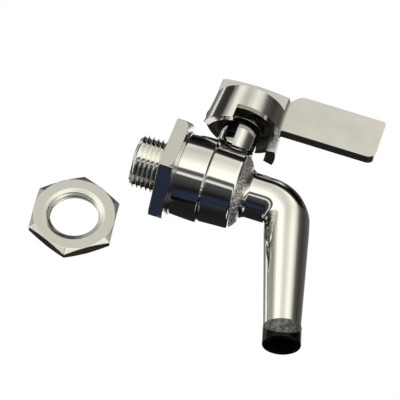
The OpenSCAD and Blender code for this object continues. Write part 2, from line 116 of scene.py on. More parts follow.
def circle(turns: int) -> np.ndarray:
    """Angles of a full circle, as one row."""
    return np.linspace(0.0, 2 * math.pi, turns, endpoint=False)[None, :]


class Skin:
    """A mesh in the making: grids of points, each with its true normal."""

    def __init__(self) -> None:
        """Starts an empty skin."""
        self.points: list[np.ndarray] = []
        self.normals: list[np.ndarray] = []
        self.faces: list[np.ndarray] = []
        self.count = 0

    def grid(self, points: np.ndarray, normals: np.ndarray) -> None:
        """Adds a grid of rows that each close on themselves.

        Args:
            points: Rows by columns by three.
            normals: The outward normal at each point.
        """
        rows, cols = points.shape[:2]
        index = self.count + np.arange(rows * cols).reshape(rows, cols)
        after = np.roll(index, -1, axis=1)
        quads = np.stack([index[:-1], after[:-1], after[1:], index[1:]], axis=-1).reshape(-1, 4)
        flat = points.reshape(-1, 3)
        local = quads - self.count
        across = np.cross(flat[local[:, 2]] - flat[local[:, 0]], flat[local[:, 3]] - flat[local[:, 1]])
        facing = normals.reshape(-1, 3)[local].mean(axis=1)
        turned = (across * facing).sum(axis=1) < 0
        quads[turned] = quads[turned][:, ::-1]
        self.points.append(flat)
        self.normals.append(normals.reshape(-1, 3))
        self.faces.append(quads)
        self.count += rows * cols

    def lathe(self, axis: Axis, outline: np.ndarray, turns: int = 128) -> None:
        """Turns an outline about an axis.

        Args:
            axis: The axis of the turned form.
            outline: Rows of station, radius, and the normal's two shares, as rounded() gives them.
            turns: Points on each ring.
        """
        angle = circle(turns)
        station, radius, along, outward = outline.T[:, :, None]
        self.grid(axis.place(station, radius, angle), axis.direct(along, outward, angle))

    def shell(self, axis: Axis, station: np.ndarray, radius: np.ndarray, angle: np.ndarray,
              facing: tuple[float, float] = (0.0, 1.0)) -> None:
        """Adds a surface round an axis, with normals taken from its own slope.

        Args:
            axis: The axis it goes round.
            station: Place of each point along the axis.
            radius: Distance of each point from the axis.
            angle: Angle of each point.
            facing: Shares along and outward of the side that the normals face.
        """
        points = axis.place(station, radius, angle)
        self.grid(points, slope_normals(points, axis.direct(*facing, angle)))

    def build(self, name: str) -> bpy.types.Object:
        """Makes the object, in metres, with its stated normals.

        Args:
            name: Name of the new piece.

        Returns:
            The new object, linked to the scene.
        """
        mesh = bpy.data.meshes.new(name)
        points = np.concatenate(self.points) * MM
        mesh.from_pydata(points.tolist(), [], np.concatenate(self.faces).tolist())
        mesh.polygons.foreach_set("use_smooth", [True] * len(mesh.polygons))
        mesh.normals_split_custom_set_from_vertices(np.concatenate(self.normals).tolist())
        mesh.update()
        piece = bpy.data.objects.new(name, mesh)
        bpy.context.scene.collection.objects.link(piece)
        return piece


def rounded(corners: list[Triple], steps: int = 4) -> np.ndarray:
    """Rounds the corners of an outline and gives it normals to the left of its way.

    Args:
        corners: Station, radius and rounding of each corner. A rounding of 0 joins smoothly.
        steps: Points on each rounding, less one.

    Returns:
        Rows of station, radius, and the normal's shares along and outward.
    """
    spots = np.array([c[:2] for c in corners], float)
    ways = unit(np.diff(spots, axis=0))
    sizes = np.linalg.norm(np.diff(spots, axis=0), axis=1)
    rows = [(*spots[0], *ways[0])]
    for i in range(1, len(corners) - 1):
        before, after = ways[i - 1], ways[i]
        if corners[i][2] <= 0:
            rows.append((*spots[i], *unit(before + after)))
            continue
        turn = math.acos(max(-1.0, min(1.0, float(before @ after))))
        reach = min(corners[i][2] * math.tan(turn / 2), 0.45 * sizes[i - 1], 0.45 * sizes[i])
        for k in range(steps + 1):
            t = k / steps
            bend = (1 - t) ** 2 * (spots[i] - reach * before) + t * t * (spots[i] + reach * after)
            rows.append((*(bend + 2 * t * (1 - t) * spots[i]), *unit(before * (1 - t) + after * t)))
    rows.append((*spots[-1], *ways[-1]))
    table = np.array(rows)
    return np.column_stack([table[:, 0], table[:, 1], -table[:, 3], table[:, 2]])


def slope_normals(points: np.ndarray, towards: np.ndarray) -> np.ndarray:
    """Normals of a closed grid from its neighbouring points.

    Args:
        points: Rows by columns by three.
        towards: Directions that the normals have to face.

    Returns:
        Unit normals of the same shape.
    """
    across = np.roll(points, -1, axis=1) - np.roll(points, 1, axis=1)
    down = np.gradient(points, axis=0)
    normals = unit(np.cross(across, down))
    turned = (normals * towards).sum(axis=-1, keepdims=True) < 0
    return np.where(turned, -normals, normals)


@dataclass(frozen=True)
class PipeThread:
    """The parallel pipe thread of the shank and the lock nut."""

    major_r: float = 20.955 / 2
    depth: float = 1.16
    pitch: float = 1.814
    crest: float = 0.1
    softness: float = 0.4

    def radius(self, station: np.ndarray, angle: np.ndarray, phase: float = 0.0) -> np.ndarray:
        """Radius of the thread's surface.

        Args:
            station: Place along the axis.
            angle: Angle about the axis.
            phase: Share of a turn by which the thread starts early.

        Returns:
            The radius at each place.
        """
        turn = station / self.pitch - angle / (2 * math.pi) + phase
        rise = 2 * np.abs(turn - np.floor(turn) - 0.5)
        flank = np.clip((rise - self.crest) / (1 - 2 * self.crest), 0.0, 1.0)
        soft = flank * flank * (3 - 2 * flank)
        return self.major_r - self.depth * (1 - (1 - self.softness) * flank - self.softness * soft)


@dataclass(frozen=True)
class Hexagon:
    """The outside of a six-sided piece with turned chamfers."""

    across_flats: float
    thickness: float
    low_r: float
    low_h: float
    high_r: float
    high_h: float
    corner_r: float = 0.45
    edge: float = 0.13

    def outline(self) -> tuple[np.ndarray, np.ndarray, np.ndarray]:
        """The hexagon's outline with rounded corners.

        Returns:
            Angle and radius of each point, and the angle of its normal.
        """
        tip = self.across_flats / math.sqrt(3)
        centre = tip - self.corner_r / math.cos(math.pi / 6)
        spots, facing = [], []
        for k in range(6):
            middle = k * math.pi / 3
            arc = [middle + math.radians(d) for d in (-30, -20, -10, 0, 10, 20, 30)]
            for a in arc:
                spots.append((centre * math.cos(middle) + self.corner_r * math.cos(a),
                              centre * math.sin(middle) + self.corner_r * math.sin(a)))
                facing.append(a)
            first = np.array(spots[-1])
            ahead = middle + math.pi / 3
            last = np.array([centre * math.cos(ahead) + self.corner_r * math.cos(arc[-1]),
                             centre * math.sin(ahead) + self.corner_r * math.sin(arc[-1])])
            for t in np.linspace(0, 1, 16)[1:-1]:
                spots.append(tuple(first + (last - first) * t))
                facing.append(arc[-1])
        spot = np.array(spots)
        return np.arctan2(spot[:, 1], spot[:, 0]), np.hypot(spot[:, 0], spot[:, 1]), np.array(facing)

    def half(self, r0: float, h0: float, angle: np.ndarray, radius: np.ndarray) -> list[tuple]:
        """Rows from one face, over its chamfer, to the flats.

        Args:
            r0: Radius where the chamfer starts on the face.
            h0: Height of the chamfer at the corners.
            angle: Angle of the outline's points.
            radius: Radius of the outline's points.

        Returns:
            Rows of station, radius, share of the face's normal and share of the flats' normal.
        """
        # Where the chamfer is narrower than its two rounded edges, one rounded edge stands for it.
        tip = self.across_flats / math.sqrt(3)
        low = np.minimum(radius, r0)
        rise = np.maximum(radius - r0, 0) * h0 / (tip - r0)
        gap = np.hypot(radius - low, rise)
        wide = gap > 2 * self.edge
        cone = unit(np.array([tip - r0, h0]))
        step = self.edge / np.maximum(gap, 1e-9)
        near_a = np.where(wide, rise * step, 0.3 * self.edge)
        near_r = np.where(wide, low + (radius - low) * step, radius - 0.3 * self.edge)
        far_a = np.where(wide, rise * (1 - step), 0.35 * self.edge)
        far_r = np.where(wide, radius - (radius - low) * step, radius - 0.25 * self.edge)
        share_a = np.where(wide, cone[0], 0.7)
        share_r = np.where(wide, cone[1], 0.7)
        zero, one = np.zeros_like(angle), np.ones_like(angle)
        return [(zero, low - self.edge, one, zero), (near_a, near_r, share_a, share_r),
                (far_a, far_r, share_a, share_r), (rise + self.edge, radius, zero, one)]

    def add_to(self, skin: Skin, axis: Axis, low_hole: float, high_hole: float) -> None:
        """Adds flats, chamfers and both faces to a skin.

        Args:
            skin: The skin that takes them.
            axis: Axis from the first face, with its side towards a corner.
            low_hole: Radius of the hole in the first face.
            high_hole: Radius of the hole in the far face.
        """
        angle, radius, facing = self.outline()
        rows = [(a, r, -s, o) for a, r, s, o in self.half(self.low_r, self.low_h, angle, radius)]
        upper = self.half(self.high_r, self.high_h, angle, radius)
        rows += [(self.thickness - a, r, s, o) for a, r, s, o in reversed(upper)]
        station, reach, along, outward = (np.array(column) for column in zip(*rows))
        points = axis.place(station, reach, angle)
        skin.grid(points, axis.direct(along, outward, facing))
        for side, row, hole in ((-1.0, 0, low_hole), (1.0, -1, high_hole)):
            inner = axis.place(station[row], hole, angle)
            skin.grid(np.stack([inner, points[row]]), axis.direct(side, 0.0, np.stack([angle, angle])))


class Tree:
    """A node tree with short calls that add nodes and join them."""

    def __init__(self, tree: bpy.types.NodeTree) -> None:
        """Keeps the tree that the calls work on."""
        self.tree = tree

    def add(self, kind: str, inputs: dict | None = None, **settings: object) -> bpy.types.Node:
        """Adds a node.

        Args:
            kind: Blender's name for the node.
            inputs: Values or output sockets for the node's inputs.
            **settings: The node's own properties.

        Returns:
            The new node.
        """
        node = self.tree.nodes.new(kind)
        for name, value in settings.items():
            setattr(node, name, value)
        for name, value in (inputs or {}).items():
            self.feed(node.inputs[name], value)
        return node

    def feed(self, socket: Socket, value: object) -> None:
        """Links an output to an input, or sets the input's value."""
        if isinstance(value, Socket):
            self.tree.links.new(value, socket)
        else:
            socket.default_value = value

    def math(self, operation: str, *values: object, clamp: bool = False) -> Socket:
        """A Math node's result.

        Args:
            operation: Name of the operation.
            *values: Its inputs in order.
            clamp: Whether the result stays between 0 and 1.

        Returns:
            The output socket.
        """
        node = self.add("ShaderNodeMath", operation=operation, use_clamp=clamp)
        for place, value in enumerate(values):
            self.feed(node.inputs[place], value)
        return node.outputs[0]

    def times(self, *values: object) -> Socket:
        """The product of all values."""
        product = values[0]
        for value in values[1:]:
            product = self.math("MULTIPLY", product, value)
        return product

    def scaled(self, value: object, gain: object, base: object) -> Socket:
        """A value times a gain, on top of a base."""
        return self.math("MULTIPLY_ADD", value, gain, base)

    def vector(self, operation: str, *values: object) -> Socket:
        """A Vector Math node's result.

        Args:
            operation: Name of the operation.
            *values: Its inputs in order.

        Returns:
            The output socket, a number for LENGTH and a vector otherwise.
        """
        node = self.add("ShaderNodeVectorMath", operation=operation)
        for place, value in enumerate(values):
            self.feed(node.inputs[place], value)
        return node.outputs["Value" if operation in ("LENGTH", "DOT_PRODUCT") else "Vector"]

    def remap(self, value: object, low: float, high: float, start: object = 0.0,
              end: object = 1.0) -> Socket:
        """A value moved from one range to another and held inside it.

        Args:
            value: What is moved.
            low: Start of its range.
            high: End of its range.
            start: Result at low.
            end: Result at high.

        Returns:
            The output socket.
        """
        node = self.add("ShaderNodeMapRange", {"Value": value, "From Min": low, "From Max": high,
                                               "To Min": start, "To Max": end})
        return node.outputs["Result"]

    def mix(self, factor: object, first: object, second: object,
            blend: str = "MIX") -> Socket:
        """Two colours mixed.

        Args:
            factor: Share of the second.
            first: Colour at 0.
            second: Colour at 1.
            blend: How they are mixed.

        Returns:
            The output socket.
        """
        node = self.add("ShaderNodeMix", data_type="RGBA", blend_type=blend)
        self.feed(node.inputs[0], factor)
        self.feed(node.inputs[6], first)
        self.feed(node.inputs[7], second)
        return node.outputs[2]

    def ramp(self, value: object, stops: list[tuple]) -> Socket:
        """A colour ramp's colour.

        Args:
            value: Place on the ramp, from 0 to 1.
            stops: Place and colour of each stop, in order.

        Returns:
            The output socket.
        """
        node = self.add("ShaderNodeValToRGB", {"Fac": value})
        stretch = node.color_ramp
        stretch.elements[0].position = stops[0][0]
        stretch.elements[1].position = stops[-1][0]
        for place, _ in stops[1:-1]:
            stretch.elements.new(place)
        for element, (_, colour) in zip(stretch.elements, stops):
            element.color = (*colour, 1.0)
        return node.outputs["Color"]

    def millimetres(self) -> Socket:
        """The surface's own place in millimetres."""
        place = self.add("ShaderNodeTexCoord").outputs["Object"]
        return self.vector("MULTIPLY", place, (1000.0, 1000.0, 1000.0))

    def noise(self, place: object, scale: object, detail: float = 2.0,
              rough: float = 0.5) -> Socket:
        """A noise's value.

        Args:
            place: Where it is read.
            scale: How fine it is.
            detail: How many finer layers it has.
            rough: Weight of the finer layers.

        Returns:
            The output socket, about 0.5 in the middle.
        """
        node = self.add("ShaderNodeTexNoise", {"Vector": place, "Scale": scale, "Detail": detail,
                                               "Roughness": rough})
        return node.outputs["Fac"]


class Effect:
    """A shared node group: built once, and placed in each material with its own values."""

    made: dict[str, bpy.types.NodeTree] = {}

    def __init__(self, name: str, inputs: dict[str, tuple], outputs: dict[str, str]) -> None:
        """Starts the group.

        Args:
            name: Name of the group.
            inputs: Socket kind and first value of each input.
            outputs: Socket kind of each output.
        """
        group = bpy.data.node_groups.new(name, "ShaderNodeTree")
        for label, (kind, value) in inputs.items():
            socket = group.interface.new_socket(name=label, in_out="INPUT", socket_type=kind)
            socket.default_value = value
        for label, kind in outputs.items():
            group.interface.new_socket(name=label, in_out="OUTPUT", socket_type=kind)
        self.tree = Tree(group)
        self.into = self.tree.add("NodeGroupInput").outputs
        self.out = self.tree.add("NodeGroupOutput").inputs
        Effect.made[name] = group


FLOAT = "NodeSocketFloat"
VECTOR = "NodeSocketVector"


def build_grain() -> None:
    """Brushing: short fine lines, stretched by a scale along each axis."""
    e = Effect("brushed_grain", {"Place": (VECTOR, (0, 0, 0)), "Stretch": (VECTOR, (1, 1, 1))},
               {"Lines": FLOAT, "Cloud": FLOAT})
    t = e.tree
    drawn = t.vector("MULTIPLY", e.into["Place"], e.into["Stretch"])
    fine = t.noise(drawn, 1.0, 3.0, 0.6)
    coarse = t.noise(drawn, 0.31, 1.0)
    t.feed(e.out["Lines"], t.math("ADD", t.times(fine, 0.65), t.times(coarse, 0.35)))
    t.feed(e.out["Cloud"], t.noise(e.into["Place"], 0.12, 2.0))


def build_turning() -> None:
    """Turning marks: rings about an axis, uneven from ring to ring."""
    e = Effect("turning_marks", {"Place": (VECTOR, (0, 0, 0)), "Centre": (VECTOR, (0, 0, 0)),
                                 "Axis": (VECTOR, (1, 0, 0)), "Fineness": (FLOAT, 3.0)}, {"Rings": FLOAT})
    t = e.tree
    offset = t.vector("SUBTRACT", e.into["Place"], e.into["Centre"])
    out = t.vector("LENGTH", t.vector("CROSS_PRODUCT", offset, e.into["Axis"]))
    along = t.vector("DOT_PRODUCT", offset, e.into["Axis"])
    steps = t.times(t.math("ADD", out, t.times(along, 0.83)), e.into["Fineness"])
    spot = t.add("ShaderNodeCombineXYZ", {"X": steps}).outputs[0]
    t.feed(e.out["Rings"], t.noise(spot, 1.0, 3.0, 0.6))


def build_handling() -> None:
    """Handling: faint smudges and thin scratches that cross each other."""
    e = Effect("handling_marks", {"Place": (VECTOR, (0, 0, 0)), "Amount": (FLOAT, 1.0)},
               {"Smudge": FLOAT, "Scratch": FLOAT})
    t = e.tree
    cloud = t.noise(e.into["Place"], 0.16, 3.0, 0.55)
    t.feed(e.out["Smudge"], t.times(t.remap(cloud, 0.48, 0.72), e.into["Amount"]))
    warped = t.vector("ADD", e.into["Place"], (3.7, 1.9, 8.3))
    lines = []
    for stretch in ((0.05, 1.6, 1.3), (1.5, 0.09, 0.8), (0.9, 1.2, 0.07)):
        hair = t.noise(t.vector("MULTIPLY", warped, stretch), 1.0, 1.0)
        near = t.math("ABSOLUTE", t.math("SUBTRACT", hair, 0.5))
        lines.append(t.remap(near, 0.0, 0.006, 1.0, 0.0))
    both = t.math("MAXIMUM", t.math("MAXIMUM", lines[0], lines[1]), lines[2])
    gate = t.remap(t.noise(e.into["Place"], 0.23, 1.0), 0.5, 0.62)
    t.feed(e.out["Scratch"], t.times(both, gate, e.into["Amount"]))


def build_ripple() -> None:
    """Polisher's ripple: a slow unevenness under the shine, and fine pits."""
    e = Effect("cast_ripple", {"Place": (VECTOR, (0, 0, 0)), "Length": (FLOAT, 6.0)},
               {"Height": FLOAT, "Pits": FLOAT})
    t = e.tree
    pace = t.math("DIVIDE", 1.0, e.into["Length"])
    t.feed(e.out["Height"], t.noise(e.into["Place"], pace, 1.0))
    spots = t.add("ShaderNodeTexVoronoi", {"Vector": e.into["Place"], "Scale": 0.45})
    t.feed(e.out["Pits"], t.remap(spots.outputs["Distance"], 0.03, 0.07, 1.0, 0.0))


def shade(colour: Colour, share: float = 1.0) -> tuple[float, ...]:
    """A colour times a share, with its alpha of one."""
    return (*(c * share for c in colour), 1.0)


class Finish:
    """A material made of nodes, with the shared effects at hand."""

    def start(self, name: str) -> tuple[Material, Tree, bpy.types.Node]:
        """Makes a material with an empty shader.

        Args:
            name: Name of the material.

        Returns:
            The material, its tree and its Principled BSDF.
        """
        material = bpy.data.materials.new(name)
        material.use_nodes = True
        material.node_tree.nodes.clear()
        tree = Tree(material.node_tree)
        shader = tree.add("ShaderNodeBsdfPrincipled")
        tree.add("ShaderNodeOutputMaterial", {"Surface": shader.outputs["BSDF"]})
        return material, tree, shader

    def effect(self, tree: Tree, name: str, **values: object) -> bpy.types.bpy_prop_collection:
        """Places a shared effect.

        Args:
            tree: The material's tree.
            name: Name of the effect.
            **values: Its inputs.

        Returns:
            The effect's outputs.
        """
        node = tree.add("ShaderNodeGroup", node_tree=Effect.made[name])
        for label, value in values.items():
            tree.feed(node.inputs[label], value)
        return node.outputs

    def bump(self, tree: Tree, shader: bpy.types.Node, height: object, strength: float,
             depth: float) -> None:
        """Gives the shader a bumpy normal.

        Args:
            tree: The material's tree.
            shader: The Principled BSDF.
            height: The height's socket.
            strength: Strength of the bump.
            depth: Height in metres that a value of one stands for.
        """
        node = tree.add("ShaderNodeBump", {"Height": height, "Strength": strength, "Distance": depth})
        tree.feed(shader.inputs["Normal"], node.outputs["Normal"])


@dataclass(frozen=True)
class SteelFinish(Finish):
    """Stainless steel, from mirror polished to satin."""

    name: str
    tint: Colour = (0.83, 0.82, 0.785)
    roughness: float = 0.07
    grain_rough: float = 0.03
    grain_depth: float = 0.0
    stretch: Triple = (1.0, 1.0, 1.0)
    ripple_length: float = 7.0
    ripple_depth: float = 0.02
    marks: float = 0.5
    rings: float = 0.0
    ring_centre: Triple = (0.0, 0.0, 0.0)
    ring_axis: Triple = (1.0, 0.0, 0.0)
    ring_fineness: float = 4.0
    ring_rough: float = 0.08
    ring_depth: float = 0.004
    smudge_share: float = 0.12
    smudge_rough: float = 0.03
    scratch_rough: float = 0.12
    scratch_depth: float = 0.0008
    pit_depth: float = 0.0006

    def build(self) -> Material:
        """Makes the material.

        Returns:
            The material.
        """
        material, t, shader = self.start(self.name)
        place = t.millimetres()
        grain = self.effect(t, "brushed_grain", Place=place, Stretch=self.stretch)
        marks = self.effect(t, "handling_marks", Place=place, Amount=self.marks)
        ripple = self.effect(t, "cast_ripple", Place=place, Length=self.ripple_length)
        rings = self.effect(t, "turning_marks", Place=place, Centre=self.ring_centre, Axis=self.ring_axis,
                            Fineness=self.ring_fineness)
        smudged = t.times(marks["Smudge"], self.smudge_share)
        clean = t.mix(smudged, shade(self.tint), shade(self.tint, 0.9))
        streaks = t.math("SUBTRACT", grain["Lines"], 0.35, clamp=True)
        colour = t.mix(t.times(streaks, self.grain_rough * 4), clean, shade(self.tint, 0.82))
        shader.inputs["Metallic"].default_value = 1.0
        rough = t.scaled(grain["Lines"], self.grain_rough * 2, self.roughness - self.grain_rough)
        colour, rough = self.vary(t, place, colour, rough, grain)
        t.feed(shader.inputs["Base Color"], colour)
        for source, gain in ((marks["Smudge"], self.smudge_rough), (marks["Scratch"], self.scratch_rough),
                             (rings["Rings"], self.rings * self.ring_rough)):
            rough = t.scaled(source, gain, rough)
        t.feed(shader.inputs["Roughness"], rough)
        height = t.times(ripple["Height"], self.ripple_depth)
        for source, gain in ((grain["Lines"], self.grain_depth), (marks["Scratch"], -self.scratch_depth),
                             (ripple["Pits"], -self.pit_depth),
                             (rings["Rings"], self.rings * self.ring_depth)):
            height = t.scaled(source, gain, height)
        self.bump(t, shader, height, 1.0, MM)
        return material

    def vary(self, t: Tree, place: object, colour: object, rough: object,
             grain: object) -> tuple[object, object]:
        """Colour and roughness where the finish changes over the piece: here it doesn't."""
        return colour, rough


@dataclass(frozen=True)
class LeverFinish(SteelFinish):
    """The lever's steel: a polished hub, a satin blade, and a raw casting under the cap, coloured dark
    there as painted shade.
    """

    stem_x: float = 21.7
    cap_r: float = 12.75
    cap_top: float = 36.5
    hub_r: float = 15.2
    hub_rough: float = 0.1
    hub_fade: float = 2.5
    skirt_z: float = 28.0
    leg_x: float = 31.0
    leg_end: float = 19.5
    fade: float = 0.3
    cloud: Colour = (0.66, 0.64, 0.6)
    # Painted shade: the cap's inside is coloured far darker than steel, for the shade in the recess.
    raw_shaded_dark: Colour = (0.11, 0.105, 0.1)
    raw_shaded_light: Colour = (0.2, 0.19, 0.18)
    raw_rough: float = 0.33
    worn_dark: Colour = (0.36, 0.355, 0.34)
    worn_light: Colour = (0.9, 0.89, 0.87)

    def vary(self, t: Tree, place: object, colour: object, rough: object,
             grain: object) -> tuple[object, object]:
        """Colour and roughness with the hub polished, and the cap's inside raw, with painted shade in its
        colour.

        Args:
            t: The material's tree.
            place: The surface's place in millimetres.
            colour: Colour so far.
            rough: Roughness so far.
            grain: The brushing's outputs.

        Returns:
            The new colour and roughness.
        """
        offset = t.vector("SUBTRACT", place, (self.stem_x, 0.0, 0.0))
        reach = t.vector("LENGTH", t.vector("MULTIPLY", offset, (1.0, 1.0, 0.0)))
        height = t.vector("DOT_PRODUCT", place, (0.0, 0.0, 1.0))
        inside = t.times(t.remap(reach, self.cap_r - self.fade, self.cap_r, 1.0, 0.0),
                         t.remap(height, self.cap_top - 0.5, self.cap_top, 1.0, 0.0))
        hub = t.remap(reach, self.hub_r, self.hub_r + self.hub_fade, 1.0, 0.0)
        cloud = t.remap(t.noise(place, 0.09, 3.0, 0.6), 0.35, 0.7, 0.0, 0.55)
        colour = t.mix(cloud, colour, shade(self.cloud))
        smooth = t.scaled(grain["Lines"], 0.05, self.hub_rough - 0.025)
        rough = t.math("ADD", t.times(rough, t.math("SUBTRACT", 1.0, hub)), t.times(smooth, hub))
        # Painted shade: inside the cap the colour goes near black for the shade there; the roughness is
        # the raw casting's own.
        raw_and_shade = t.mix(grain["Cloud"], shade(self.raw_shaded_dark), shade(self.raw_shaded_light))
        along = t.vector("DOT_PRODUCT", place, (1.0, 0.0, 0.0))
        leg = t.times(t.remap(height, self.skirt_z - 0.6, self.skirt_z, 1.0, 0.0),
                      t.remap(along, self.leg_x, self.leg_x + self.fade),
                      t.remap(reach, self.cap_r - self.fade, self.cap_r),
                      t.remap(height, self.leg_end, self.leg_end + 0.2))
        spots = t.remap(t.noise(place, 1.7, 3.0, 0.7), 0.4, 0.62)
        cast = t.mix(spots, shade(self.worn_dark), shade(self.worn_light))
        dulled = t.mix(t.times(leg, 0.8), colour, cast)
        rough = t.scaled(leg, t.times(spots, 0.3), rough)
        return t.mix(inside, dulled, raw_and_shade), t.scaled(inside, self.raw_rough, rough)


@dataclass(frozen=True)
class WeldFinish(Finish):
    """A cleaned weld: rough, mottled and slightly heat tinted."""

    name: str = "weld_metal"
    rough_end: float = 32.0
    fade: float = 0.9
    smooth: Colour = (0.78, 0.77, 0.735)
    mottle: tuple[Colour, ...] = ((0.36, 0.35, 0.33), (0.78, 0.76, 0.72), (0.95, 0.93, 0.9))

    def build(self) -> Material:
        """Makes the material.

        Returns:
            The material.
        """
        material, t, shader = self.start(self.name)
        place = t.millimetres()
        ripple = self.effect(t, "cast_ripple", Place=place, Length=1.1)
        grain = self.effect(t, "brushed_grain", Place=place, Stretch=(2.2, 2.6, 2.4))
        spots = t.remap(grain["Lines"], 0.4, 0.62)
        colour = t.ramp(spots, list(zip((0.0, 0.5, 1.0), self.mottle)))
        along = t.vector("DOT_PRODUCT", place, (1.0, 0.0, 0.0))
        along = t.scaled(grain["Cloud"], 1.2, along)
        bead = t.remap(along, self.rough_end, self.rough_end + self.fade, 1.0, 0.0)
        t.feed(shader.inputs["Base Color"], t.mix(bead, shade(self.smooth), colour))
        shader.inputs["Metallic"].default_value = 1.0
        beaded = t.remap(grain["Lines"], 0.3, 0.7, 0.36, 0.16)
        t.feed(shader.inputs["Roughness"], t.scaled(beaded, bead, 0.11))
        height = t.scaled(grain["Lines"], 0.24, t.times(ripple["Height"], 0.3))
        self.bump(t, shader, t.times(height, bead), 0.8, MM)
        return material


@dataclass(frozen=True)
class PlasticFinish(Finish):
    """Moulded or machined plastic and rubber in one colour, with a fine surface."""

    name: str
    colour: Colour
    roughness: float
    grain_depth: float = 0.004

    def build(self) -> Material:
        """Makes the material.

        Returns:
            The material.
        """
        material, t, shader = self.start(self.name)
        place = t.millimetres()
        grain = self.effect(t, "brushed_grain", Place=place, Stretch=(4.0, 4.0, 4.0))
        marks = self.effect(t, "handling_marks", Place=place, Amount=0.6)
        tone = t.mix(grain["Cloud"], shade(self.colour), shade(self.colour, 0.8))
        t.feed(shader.inputs["Base Color"], tone)
        t.feed(shader.inputs["Roughness"], t.scaled(marks["Smudge"], 0.1, self.roughness))
        height = t.times(grain["Lines"], self.grain_depth)
        self.bump(t, shader, height, 0.6, MM)
        return material


@dataclass(frozen=True)
class TipFinish(Finish):
    """Glossy black plastic, with a painted reflection on its front where it meets the metal: a grey,
    scuffed and duller lens.
    """

    name: str = "tip_black"
    origin: Triple = (0.0, 0.0, 0.0)
    along: Triple = (0.0, 0.0, -1.0)
    # Painted reflection: the slope and greys below shape and colour the grey lens on the tip's front, with
    # scuff specks in it.
    reflection_slope: float = 0.83
    black: Colour = (0.003, 0.003, 0.0035)
    scuff_and_reflection_dark: Colour = (0.06, 0.062, 0.063)
    scuff_and_reflection_light: Colour = (0.36, 0.36, 0.355)

    def build(self) -> Material:
        """Makes the material.

        Returns:
            The material.
        """
        material, t, shader = self.start(self.name)
        place = t.millimetres()
        marks = self.effect(t, "handling_marks", Place=place, Amount=0.8)
        grain = self.effect(t, "brushed_grain", Place=place, Stretch=(2.5, 2.5, 2.5))
        # Painted reflection: a grey lens on the front of the tip, just below the metal, stands for a
        # reflection on the glossy black; it is also made duller, half metallic and specked like a scuff.
        down = t.vector("DOT_PRODUCT", t.vector("SUBTRACT", place, self.origin), self.along)
        front = t.vector("DOT_PRODUCT", place, (0.0, -self.reflection_slope, 0.0))
        edge = t.math("SUBTRACT", t.scaled(grain["Lines"], 0.5, down), front)
        reflection_lens = t.remap(edge, 0.0, 0.3, 1.0, 0.0)
        speck = t.remap(grain["Lines"], 0.42, 0.68)
        scuffed_reflection = t.mix(speck, shade(self.scuff_and_reflection_dark), shade(self.scuff_and_reflection_light))
        t.feed(shader.inputs["Base Color"], t.mix(reflection_lens, shade(self.black), scuffed_reflection))
        gloss = t.scaled(marks["Smudge"], 0.08, 0.09)
        t.feed(shader.inputs["Roughness"], t.scaled(reflection_lens, 0.3, gloss))
        t.feed(shader.inputs["Metallic"], t.times(reflection_lens, 0.5))
        shader.inputs["Specular IOR Level"].default_value = 0.12
        height = t.times(grain["Lines"], reflection_lens, 0.09)
        self.bump(t, shader, height, 1.0, MM)
        return material


def settle(piece: bpy.types.Object, body: Body, slot: str, finish: Material,
           *stands_for: str) -> None:
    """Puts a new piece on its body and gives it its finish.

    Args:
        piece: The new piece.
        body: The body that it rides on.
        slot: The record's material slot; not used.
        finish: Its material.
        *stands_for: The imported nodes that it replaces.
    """
    piece.data.materials.clear()
    piece.data.materials.append(finish)
    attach(piece, body.value)
    if stands_for:
        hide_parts(*stands_for)
    log.info("%s: %d faces", piece.name, len(piece.data.polygons))


MERGE_BELOW = 0.002
FLAT_BELOW = math.radians(0.4)
SHARP_ABOVE = math.radians(32)
EDGE_STEPS = 3
FACE_WEIGHT = 80


def dress(node: str, finish: Material, edge: float = 0.0) -> None:
    """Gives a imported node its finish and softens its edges.

    Args:
        node: Name of the node.
        finish: Its material.
        edge: Width of the rounded edges in millimetres, or 0 for none.
    """
    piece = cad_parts[node]
    while len(piece.material_slots) < 1:
        piece.data.materials.append(finish)
    for slot in piece.material_slots:
        slot.material = finish
    if edge > 0:
        weld = piece.modifiers.new("weld", "WELD")
        weld.merge_threshold = MERGE_BELOW * MM
        flat = piece.modifiers.new("flat", "DECIMATE")
        flat.decimate_type = "DISSOLVE"
        flat.angle_limit = FLAT_BELOW
        bevel = piece.modifiers.new("edges", "BEVEL")
        bevel.width = edge * MM
        bevel.segments = EDGE_STEPS
        bevel.limit_method = "ANGLE"
        bevel.angle_limit = SHARP_ABOVE
        bevel.use_clamp_overlap = True
        even = piece.modifiers.new("even", "WEIGHTED_NORMAL")
        even.weight = FACE_WEIGHT
        even.keep_sharp = True
    log.info("%s: dressed", node)


